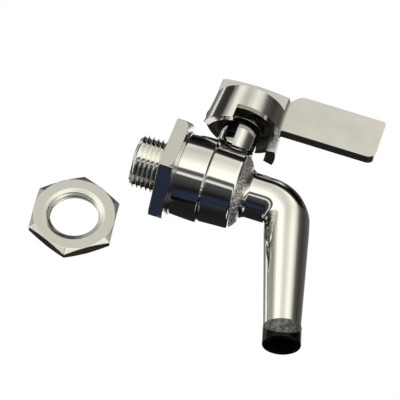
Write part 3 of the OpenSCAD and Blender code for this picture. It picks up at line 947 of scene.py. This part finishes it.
@dataclass
class InletEnd:
    """Threaded shank, fixed hexagon and the collar before the joint."""

    thread: PipeThread = field(default_factory=PipeThread)
    thread_len: float = 12.0
    chamfer: float = 1.5
    bore_r: float = 7.0
    throat_r: float = 5.5
    throat_x: float = 4.4
    throat_end: float = 5.9
    seat_x: float = 15.4
    root_r: float = 9.0775
    collar_r: float = 16.1
    collar_end: float = 6.0
    runout: float = 0.35
    runout_slope: float = 1.6
    thread_turn: float = 0.18
    root_lap: float = 0.2
    lap: float = 0.3
    edge: float = 0.3
    groove: float = 0.5
    groove_deep: float = 1.3
    hexagon: Hexagon = Hexagon(37.8, 5.4, 21.42, 0.4, 20.72, 2.1)

    def shank(self, finish: Material) -> None:
        """Builds the threaded shank with its bore.

        Args:
            finish: The thread's material.
        """
        skin = Skin()
        angle = circle(144)
        station = np.linspace(-self.thread_len, self.root_lap, 112)[:, None]
        radius = self.thread.radius(station, angle, self.thread_turn)
        end = self.thread.major_r - self.chamfer + (station + self.thread_len)
        past = np.maximum(-station - self.runout, 0)
        relief = self.thread.major_r - self.thread.depth + past * self.runout_slope
        skin.shell(FLOW, station, np.minimum(radius, np.minimum(end, relief)), angle)
        front = -self.thread_len
        tip = self.thread.major_r - self.chamfer
        bore = [(self.seat_x, self.throat_r, 0), (self.throat_end, self.throat_r, self.edge),
                (self.throat_x, self.bore_r, self.edge), (front, self.bore_r, 0.35), (front, tip, 0.1),
                (front + 0.05, tip + 0.05, 0)]
        skin.lathe(FLOW, rounded(bore))
        settle(skin.build("inlet_thread"), Body.FIXED, "polished_steel", finish, "inlet_end")

    def flange(self, finish: Material) -> None:
        """Builds the hexagon, the collar and the nose's root.

        Args:
            finish: The polished steel.
        """
        skin = Skin()
        self.hexagon.add_to(skin, FLOW, self.root_r, self.collar_r - self.lap)
        x = self.hexagon.thickness
        collar = [(x, self.collar_r + 0.4, 0), (x, self.collar_r, 0.12),
                  (self.collar_end, self.collar_r, 0.16),
                  (self.collar_end, self.collar_r - self.groove_deep, 0.1),
                  (self.collar_end + self.groove + self.lap, self.collar_r - self.groove_deep, 0)]
        skin.lathe(FLOW, rounded(collar))
        settle(skin.build("inlet_hexagon"), Body.FIXED, "polished_steel", finish, "inlet_end")


@dataclass
class ValveBody:
    """Barrel, outlet half and bonnet, cast in one and polished."""

    joint_x: float = 6.5
    step_x: float = 17.8
    end_x: float = 29.5
    joint_r: float = 16.1
    joint_deep: float = 1.3
    barrel_r: float = 16.5
    step_chamfer: float = 0.9
    half_r: float = 15.6
    half_end_r: float = 15.05
    edge_r: float = 1.6
    notch: float = 0.25
    stem_x: float = 21.7
    bonnet_r: float = 7.55
    bonnet_root: float = 12.0
    bonnet_top: float = 28.0
    bonnet_chamfer: float = 0.6
    stem_hole_r: float = 4.1
    outlet_hole_r: float = 8.0
    fillet: float = 3.0
    sink: float = 0.004
    end_gap: float = 0.25

    def barrel_radius(self, share: float) -> float:
        """The barrel's radius at a share of its length."""
        return self.barrel_r - (self.barrel_r - self.joint_r) * (1 - share) ** 2

    def outside_radius(self, x: np.ndarray) -> np.ndarray:
        """The body's radius under the fillet, with the step eased."""
        barrel_end = self.step_x - self.step_chamfer
        stations = np.linspace(self.joint_x, barrel_end, 9)
        radii = [self.barrel_radius(s) for s in np.linspace(0, 1, 9)]
        return np.interp(x, [*stations, self.step_x, self.end_x], [*radii, self.half_r, self.half_end_r])

    def casting(self, finish: Material) -> None:
        """Builds the body's skin.

        Args:
            finish: The polished steel.
        """
        skin = Skin()
        barrel_end = self.step_x - self.step_chamfer
        span = barrel_end - self.joint_x
        outline = [(self.joint_x, self.joint_r - self.joint_deep, 0), (self.joint_x, self.joint_r, 0.15)]
        outline += [(self.joint_x + s * span, self.barrel_radius(s), 0)
                    for s in np.linspace(0.08, 0.92, 12)]
        outline += [(barrel_end, self.barrel_r, 0.5), (self.step_x, self.half_r - self.notch, 0.12),
                    (self.step_x + self.notch, self.half_r, 0.25),
                    (self.end_x, self.half_end_r, self.edge_r), (self.end_x, self.outlet_hole_r, 0)]
        skin.lathe(FLOW, rounded(outline, 6), 192)
        stem = Axis((self.stem_x, 0, 0), (0, 0, 1), (1, 0, 0))
        cut, top = self.bonnet_chamfer, self.bonnet_top
        skin.lathe(stem, rounded([(self.bonnet_root, self.bonnet_r, 0), (top - cut, self.bonnet_r, 0.4),
                                  (top, self.bonnet_r - cut, 0.3), (top, self.stem_hole_r, 0)]))
        self.foot(skin)
        settle(skin.build("body_casting"), Body.FIXED, "polished_steel", finish, "valve_body")

    def foot(self, skin: Skin) -> None:
        """Adds the fillet that a ball leaves as it rolls between bonnet and body.

        Args:
            skin: The skin that takes it.
        """
        angle = circle(288)[0]
        reach = self.bonnet_r + self.fillet
        x, y = self.stem_x + reach * np.cos(angle), reach * np.sin(angle)
        around = self.outside_radius(np.minimum(x, self.end_x)) + self.fillet
        z = np.sqrt(around ** 2 - y ** 2)
        centre = np.stack([x, y, z], axis=-1)
        to_body = np.stack([0 * x, -y, -z], axis=-1) / around[:, None]
        to_bonnet = np.stack([-np.cos(angle), -np.sin(angle), 0 * x], axis=-1)
        span = np.arccos((to_body * to_bonnet).sum(axis=-1))[:, None]
        points, normals = [], []
        for share in np.linspace(0, 1, 13):
            way = to_bonnet * np.sin(span * (1 - share)) + to_body * np.sin(span * share)
            way = way / np.sin(span)
            spot = centre + (self.fillet + self.sink) * way
            spot[:, 0] = np.minimum(spot[:, 0], self.end_x - self.end_gap)
            points.append(spot)
            normals.append(-way)
        skin.grid(np.array(points), np.array(normals))


@dataclass
class Spout:
    """The elbow spout with its drip tip."""

    start_x: float = 29.5
    radius: float = 8.9
    mouth_r: float = 7.15
    bore_r: float = 5.5
    bend_r: float = 10.4
    lean: float = math.radians(14.9)
    corner_x: float = 48.7
    drop: float = 52.5
    tip_len: float = 7.6
    lip: float = 1.2
    ease: float = 7.0
    tip_gap: float = 0.12

    def __post_init__(self) -> None:
        """Works out the stations of the bend."""
        turn = math.pi / 2 - self.lean
        cut = self.bend_r * math.tan(turn / 2)
        self.turn = turn
        self.bend_x = self.corner_x - cut
        self.leg_len = self.drop - cut
        self.down = np.array([math.sin(self.lean), 0.0, -math.cos(self.lean)])
        self.bend_end = np.array([self.bend_x + self.bend_r * math.sin(turn), 0.0,
                                  -self.bend_r * (1 - math.cos(turn))])

    def leg_axis(self) -> Axis:
        """The axis down the spout, from the metal's end."""
        mouth = self.bend_end + self.leg_len * self.down
        return Axis(tuple(mouth), tuple(self.down), (0.0, 1.0, 0.0))

    def rings(self, bore: bool) -> tuple[np.ndarray, np.ndarray, np.ndarray, np.ndarray]:
        """Centres, ways, radii and slopes along the spout.

        Args:
            bore: Whether the inside is meant.

        Returns:
            Arrays with one row for each ring.
        """
        centres, ways, radii, slopes = [], [], [], []
        wide = self.bore_r if bore else self.radius
        fall = 0.0 if bore else self.radius - self.mouth_r
        for x in np.linspace(self.start_x, self.bend_x, 8)[:-1]:
            centres.append((x, 0.0, 0.0))
            ways.append((1.0, 0.0, 0.0))
            radii.append(wide)
            slopes.append(0.0)
        for a in np.linspace(0.0, self.turn, 49):
            centres.append((self.bend_x + self.bend_r * math.sin(a), 0.0,
                            -self.bend_r * (1 - math.cos(a))))
            ways.append((math.cos(a), 0.0, -math.sin(a)))
            radii.append(wide)
            slopes.append(0.0)
        ease = self.ease
        full = self.leg_len - ease / 2
        for s in np.linspace(0.0, self.leg_len, 40)[1:]:
            centres.append(tuple(self.bend_end + s * self.down))
            ways.append(tuple(self.down))
            gone = s * s / (2 * ease) if s < ease else s - ease / 2
            radii.append(wide - fall * gone / full)
            slopes.append(-fall / full * min(1.0, s / ease))
        return np.array(centres), np.array(ways), np.array(radii), np.array(slopes)

    def pipe(self, finish: Material) -> None:
        """Builds the pipe, inside and outside.

        Args:
            finish: The polished steel.
        """
        skin = Skin()
        angle = circle(128)[..., None]
        across = np.array([0.0, 1.0, 0.0])
        for bore, sign in ((False, 1.0), (True, -1.0)):
            centres, ways, radii, slopes = self.rings(bore)
            beside = np.cross(ways, across)
            ring = np.cos(angle) * across + np.sin(angle) * beside[:, None, :]
            points = centres[:, None, :] + radii[:, None, None] * ring
            normals = unit(ring - slopes[:, None, None] * ways[:, None, :])
            skin.grid(points, sign * normals)
        end = [(-0.05, self.mouth_r, 0), (0.0, self.mouth_r - 0.05, 0.02), (0.0, self.bore_r, 0)]
        skin.lathe(self.leg_axis(), rounded(end))
        settle(skin.build("spout_pipe"), Body.FIXED, "polished_steel", finish, "spout")

    def tip(self, finish: Material) -> None:
        """Builds the black drip tip.

        Args:
            finish: The black plastic.
        """
        skin = Skin()
        r, n = self.mouth_r, self.tip_len - self.tip_gap
        outline = [(0.0, self.bore_r, 0), (0.0, r, 0.1), (n, r, self.lip), (n, self.bore_r, 0.2),
                   (0.0, self.bore_r, 0)]
        skin.lathe(self.leg_axis(), rounded(outline, 6))
        settle(skin.build("drip_tip_ring"), Body.FIXED, "tip_plastic", finish, "drip_tip")


@dataclass
class WeldBead:
    """The hollow-sided weld between the body and the spout, rough near the body."""

    start_x: float = 29.2
    length: float = 4.85
    foot_r: float = 14.2
    rim_r: float = 8.9
    hollow: float = 1.5
    rise: float = 0.2
    waves: int = 42
    wave_h: float = 0.09
    wave_shift: float = 0.12
    scallops: int = 26
    scallop_h: float = 0.16
    rough_from: float = 0.08
    rough_to: float = 0.62
    rough_fade: float = 0.2

    def build(self, finish: Material) -> None:
        """Builds the bead with its uneven ripples.

        Args:
            finish: The weld's metal.
        """
        skin = Skin()
        rng = np.random.default_rng(7)
        angle = circle(360)
        share = np.linspace(0.0, 1.0, 30)[:, None]
        station = self.start_x + self.length * share
        reach = self.rim_r + (self.foot_r - self.rim_r) * (1 - share) ** self.hollow + 0 * angle
        rough = np.zeros_like(reach)
        for _ in range(self.waves):
            turns, rows = rng.integers(9, 90), rng.uniform(1, 16)
            phase = rng.uniform(0, 2 * math.pi, 2)
            wave = np.sin(turns * angle + phase[0] + 3 * share) * np.sin(rows * share + phase[1])
            rough += wave / self.waves ** 0.5
        scallop = np.abs(np.sin(angle * self.scallops + 2.6 * share + 0.7 * np.sin(angle * 5)))
        swell = np.clip(share / self.rough_from, 0, 1)
        swell = swell * np.clip((self.rough_to - share) / self.rough_fade, 0, 1)
        reach = reach + swell * (self.wave_h * rough + self.scallop_h * scallop + self.rise)
        skin.shell(FLOW, station + self.wave_shift * swell * rough, reach, angle, (0.5, 1.0))
        settle(skin.build("weld_ripples"), Body.FIXED, "weld", finish, "weld_bead")


@dataclass
class LockNut:
    """The thin lock nut that lies beside the shank."""

    thread: PipeThread = field(default_factory=PipeThread)
    hexagon: Hexagon = Hexagon(31.6, 4.6, 15.6, 1.25, 15.6, 1.25)
    centre_x: float = -28.7
    centre_z: float = -22.7
    face_y: float = 18.9
    turn: float = math.radians(22.4)
    mouth_r: float = 11.65
    cut_sink: float = 0.95
    rim: float = 0.12
    rim_h: float = 0.02
    thread_from: float = 0.1
    thread_rows: int = 66
    thread_turn: float = 0.4

    def axis(self) -> Axis:
        """The nut's axis, from the face it lies on towards the viewer."""
        corner = (math.cos(self.turn), 0.0, -math.sin(self.turn))
        return Axis((self.centre_x, self.face_y, self.centre_z), (0.0, -1.0, 0.0), corner)

    def build(self, finish: Material) -> None:
        """Builds the nut with its countersinks and its thread.

        Args:
            finish: The turned steel.
        """
        skin = Skin()
        axis = self.axis()
        height = self.hexagon.thickness
        self.hexagon.add_to(skin, axis, self.mouth_r + self.rim, self.mouth_r + self.rim)
        angle = circle(160)
        inner = np.linspace(self.thread_from, height - self.thread_from, self.thread_rows)
        station = np.concatenate([[0.0, self.rim_h], inner, [height - self.rim_h, height]])[:, None]
        minor = self.thread.major_r - self.thread.depth
        inset = np.minimum(station, height - station)
        cone = self.mouth_r - (self.mouth_r - minor) * inset / self.cut_sink
        cone = cone + np.where(inset <= 0.0, self.rim, 0.0)
        radius = np.maximum(self.thread.radius(station, angle, self.thread_turn), cone)
        skin.shell(axis, station, radius, angle, (0.0, -1.0))
        settle(skin.build("lock_nut_ring"), Body.FIXED, "turned_steel", finish, "lock_nut")


@dataclass
class Lever:
    """The cast lever with its screw and washer."""

    edge: float = 0.35
    screw_edge: float = 0.12

    def dress(self, cast: Material, screw: Material,
              washer: Material) -> None:
        """Finishes the lever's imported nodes.

        Args:
            cast: The satin steel.
            screw: The polished steel.
            washer: The washer's steel.
        """
        dress("lever", cast, self.edge)
        dress("lever_screw", screw, self.screw_edge)
        dress("spring_washer", washer, self.screw_edge)


@dataclass
class InnerParts:
    """Ball, stem, seals and gland nut."""

    edge: float = 0.15

    def dress(self, finishes: dict[str, Material]) -> None:
        """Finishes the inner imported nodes.

        Args:
            finishes: Materials by the record's slot.
        """
        dress("ball", finishes["ball_steel"])
        dress("stem", finishes["stem_steel"])
        dress("gland_nut", finishes["stem_steel"], self.edge)
        for node in ("body_seal", "inlet_seat", "outlet_seat", "thrust_washer", "packing_ring"):
            dress(node, finishes["seat_plastic"])
        for node in ("lower_o_ring", "upper_o_ring"):
            dress(node, finishes["o_ring_rubber"])


@dataclass
class Studio:
    """Camera, pale floor and the soft boxes round the object."""

    azimuth: float = 0.1519
    elevation: float = -0.5576
    roll: float = 0.3838
    target: Triple = (16.598, 0.0, -8.876)
    distance: float = 754.327
    lens: float = 180.0
    sensor: float = 36.0
    floor_z: float = -75.0
    floor_half: float = 3000.0
    floor_glow: float = 0.62
    spread_from: float = -8.0
    spread_full: float = 22.0
    level: float = 1.3

    def camera(self) -> None:
        """Places the camera at the photograph's viewing angle."""
        back = np.array([math.sin(self.azimuth) * math.cos(self.elevation),
                         -math.cos(self.azimuth) * math.cos(self.elevation), math.sin(self.elevation)])
        right = np.array([math.cos(self.azimuth), math.sin(self.azimuth), 0.0])
        up = np.cross(back, right)
        x = right * math.cos(self.roll) + up * math.sin(self.roll)
        y = up * math.cos(self.roll) - right * math.sin(self.roll)
        place = (np.array(self.target) + back * self.distance) * MM
        data = bpy.data.cameras.new("camera")
        data.lens = self.lens
        data.sensor_width = self.sensor
        camera = bpy.data.objects.new("camera", data)
        rows = [(x[i], y[i], back[i], place[i]) for i in range(3)]
        camera.matrix_world = Matrix(rows + [(0, 0, 0, 1)])
        bpy.context.scene.collection.objects.link(camera)
        bpy.context.scene.camera = camera

    def floor(self) -> None:
        """Lays the pale floor, which shows from above only."""
        mesh = bpy.data.meshes.new("floor")
        s, z = self.floor_half * MM, self.floor_z * MM
        mesh.from_pydata([(-s, -s, z), (s, -s, z), (s, s, z), (-s, s, z)], [], [(0, 1, 2, 3)])
        floor = bpy.data.objects.new("floor", mesh)
        bpy.context.scene.collection.objects.link(floor)
        material = bpy.data.materials.new("pale_floor")
        material.use_nodes = True
        material.node_tree.nodes.clear()
        t = Tree(material.node_tree)
        matt = t.add("ShaderNodeBsdfDiffuse", {"Color": (0.86, 0.86, 0.85, 1.0)})
        pale = t.add("ShaderNodeEmission", {"Color": (1.0, 1.0, 0.99, 1.0), "Strength": self.floor_glow})
        seen = t.add("ShaderNodeLightPath").outputs["Is Camera Ray"]
        both = t.add("ShaderNodeAddShader")
        lit = t.add("ShaderNodeMixShader", {"Fac": seen})
        clear = t.add("ShaderNodeBsdfTransparent")
        behind = t.add("ShaderNodeNewGeometry").outputs["Backfacing"]
        under = t.add("ShaderNodeMixShader", {"Fac": behind})
        t.feed(both.inputs[0], matt.outputs[0])
        t.feed(both.inputs[1], pale.outputs[0])
        t.feed(lit.inputs[1], matt.outputs[0])
        t.feed(lit.inputs[2], both.outputs[0])
        t.feed(under.inputs[1], lit.outputs[0])
        t.feed(under.inputs[2], clear.outputs[0])
        t.add("ShaderNodeOutputMaterial", {"Surface": under.outputs[0]})
        mesh.materials.append(material)
        floor.visible_glossy = False
        floor.visible_shadow = False

    def world(self) -> None:
        """Surrounds the object with soft boxes and dark cards, and shows the camera plain white."""
        world = bpy.data.worlds.new("studio")
        bpy.context.scene.world = world
        world.use_nodes = True
        world.node_tree.nodes.clear()
        t = Tree(world.node_tree)
        way = t.add("ShaderNodeSeparateXYZ", {"Vector": t.add("ShaderNodeTexCoord").outputs["Generated"]})
        height = t.scaled(t.math("ARCSINE", way.outputs["Z"]), 1 / math.pi, 0.5)
        forward = t.times(way.outputs["Y"], -1.0)
        bearing = t.scaled(t.math("ARCTAN2", way.outputs["X"], forward), 0.5 / math.pi, 0.5)
        front = t.ramp(height, stops(FRONT_LIGHT, 90))
        rear = t.ramp(height, stops(REAR_LIGHT, 90))
        spread = t.ramp(bearing, stops(SPREAD, 180))
        side = t.ramp(bearing, stops(FRONT_SHARE, 180))
        high = t.remap(height, (90 + self.spread_from) / 180, (90 + self.spread_full) / 180)
        gain = t.mix(high, (1.0, 1.0, 1.0, 1.0), spread)
        ahead = t.mix(1.0, front, gain, "MULTIPLY")
        shown = t.ramp(bearing, stops(REAR_SPREAD, 180))
        low = t.mix(1.0, t.ramp(height, stops(LOW_LIGHT, 90)), t.ramp(bearing, stops(LOW_SPREAD, 180)),
                    "MULTIPLY")
        behind = t.mix(1.0, t.mix(1.0, rear, shown, "MULTIPLY"), low, "ADD")
        colour = t.mix(side, behind, ahead)
        studio = t.add("ShaderNodeBackground", {"Color": colour, "Strength": self.level})
        white = t.add("ShaderNodeBackground", {"Color": (1.0, 1.0, 1.0, 1.0), "Strength": 1.0})
        seen = t.add("ShaderNodeLightPath").outputs["Is Camera Ray"]
        choice = t.add("ShaderNodeMixShader", {"Fac": seen})
        t.feed(choice.inputs[1], studio.outputs[0])
        t.feed(choice.inputs[2], white.outputs[0])
        t.add("ShaderNodeOutputWorld", {"Surface": choice.outputs[0]})


def grey(value: float, warm: float = 0.0) -> Colour:
    """A grey, warmer by a share."""
    return (value, value * (1 - 0.01 * warm), value * (1 - 0.1 * warm))


def stops(table: list[tuple], limit: float) -> list[tuple]:
    """Turns a table by degrees into the stops of a colour ramp.

    Args:
        table: Degrees and level of each stop, where a level is a colour or a plain number.
        limit: Degrees at the table's end: 90 by height, 180 round the object.

    Returns:
        Place from 0 to 1 and colour of each stop.
    """
    colours = [level if isinstance(level, tuple) else (level,) * 3 for _, level in table]
    return [((degrees + limit) / (2 * limit), colour) for (degrees, _), colour in zip(table, colours)]


# Light by direction. The three LIGHT tables go by degrees above the horizon. The others go by degrees
# round the object, from 0 at its front, positive towards the outlet. FRONT_SHARE says where the front's
# light holds, SPREAD how strong it is there, and REAR_SPREAD and LOW_SPREAD the same for the rear's.
FRONT_LIGHT = [
    (-90, (0.055, 0.065, 0.105)), (-87, (0.012, 0.017, 0.04)), (-78, (0.022, 0.028, 0.05)),
    (-66, grey(0.008)), (-55, grey(0.03)), (-43, grey(0.055)), (-36, grey(0.05)), (-33, grey(0.75, 0.5)),
    (-30, grey(0.75, 0.5)), (-26, grey(0.09)), (-18, grey(0.07)), (-14.5, grey(1.0, 1)),
    (-6, grey(1.05, 1)), (5, grey(0.84, 1)), (17, grey(0.62, 1)), (30, grey(0.51, 1)), (42, grey(0.44, 1)),
    (54, grey(0.53, 1)), (57, grey(0.45, 1)), (60, grey(0.02)), (72, grey(0.004)), (81, grey(0.01)),
    (84, grey(0.5)), (90, grey(0.5)),
]
REAR_LIGHT = [
    (-90, (0.05, 0.06, 0.095)), (-80, grey(0.02)), (-60, grey(0.01)), (8, grey(0.015)),
    (13, grey(0.9)), (54, grey(0.9)), (62, grey(0.1)), (81, grey(0.05)), (84, grey(0.5)), (90, grey(0.5)),
]
SPREAD = [
    (-180, 0.1), (-132, 0.15), (-124, 0.62), (-118.5, 0.65), (-117, 1.6), (-108, 1.6), (-105.5, 0.1),
    (-84, 0.06), (-70, 0.07), (-66, 0.5), (-60, 0.7), (-55, 1.2), (-50, 1.7), (-45, 1.85), (-35, 1.75),
    (-26, 1.35), (-17, 1.1), (-8, 1.15), (3, 1.5), (13, 1.85), (23, 1.7), (32, 1.3), (40, 0.8), (47, 0.36),
    (53, 0.2), (64, 0.13), (80, 0.06), (100, 0.04), (180, 0.04),
]
LOW_LIGHT = [
    (-90, 0.0), (-62, 0.0), (-58, 0.5), (-34, 0.5), (-29, 0.0), (90, 0.0),
]
LOW_SPREAD = [
    (-180, 0.0), (-152, 0.0), (-146, 1.0), (-112, 1.0), (-106, 0.0), (106, 0.0), (112, 1.0), (144, 1.0),
    (150, 0.0), (180, 0.0),
]
REAR_SPREAD = [
    (-180, 1.0), (-155, 1.0), (-145, 0.2), (-120, 0.1), (0, 0.1), (115, 0.08), (140, 0.18), (150, 1.0),
    (180, 1.0),
]
FRONT_SHARE = [
    (-180, 0.0), (-134, 0.0), (-124, 1.0), (-90, 1.0), (70, 1.0), (110, 0.0), (180, 0.0),
]


def main() -> None:
    """Builds the finishes, then each sub-assembly, then the studio."""
    for effect in (build_grain, build_turning, build_handling, build_ripple):
        effect()
    polished = SteelFinish("polished_steel", stretch=(0.5, 0.5, 0.5)).build()
    hexagon = SteelFinish("hexagon_steel", tint=(0.73, 0.715, 0.675), roughness=0.14, grain_rough=0.05,
                          grain_depth=0.004, stretch=(0.4, 3.0, 3.0), ripple_depth=0.006).build()
    thread = SteelFinish("thread_steel", roughness=0.05, ripple_length=1.5, ripple_depth=0.01,
                         marks=0.2).build()
    satin = LeverFinish("satin_steel", tint=(0.8, 0.785, 0.745), roughness=0.2, grain_rough=0.05,
                        grain_depth=0.004, stretch=(0.6, 6.0, 6.0), ripple_depth=0.006).build()
    turned = SteelFinish("turned_steel", tint=(0.7, 0.69, 0.65), roughness=0.2, grain_rough=0.02,
                         rings=1.0, ring_centre=(-28.7, 0.0, -22.7), ring_axis=(0.0, 1.0, 0.0),
                         ring_fineness=1.3).build()
    inner = {
        "ball_steel": SteelFinish("ball_steel", roughness=0.05).build(),
        "stem_steel": SteelFinish("stem_steel", roughness=0.16, rings=0.6, ring_centre=(21.7, 0.0, 0.0),
                                  ring_axis=(0.0, 0.0, 1.0)).build(),
        "seat_plastic": PlasticFinish("seat_white", (0.84, 0.84, 0.8), 0.38).build(),
        "o_ring_rubber": PlasticFinish("ring_rubber", (0.015, 0.015, 0.017), 0.5).build(),
    }
    inlet = InletEnd()
    inlet.shank(thread)
    inlet.flange(hexagon)
    ValveBody().casting(polished)
    spout = Spout()
    spout.pipe(polished)
    WeldBead().build(WeldFinish().build())
    axis = spout.leg_axis()
    spout.tip(TipFinish(origin=axis.origin, along=axis.along).build())
    LockNut().build(turned)
    Lever().dress(satin, polished, inner["stem_steel"])
    InnerParts().dress(inner)
    studio = Studio()
    studio.camera()
    studio.floor()
    studio.world()
    bpy.context.scene.view_settings.view_transform = "Standard"


if __name__ == "__main__":
    main()
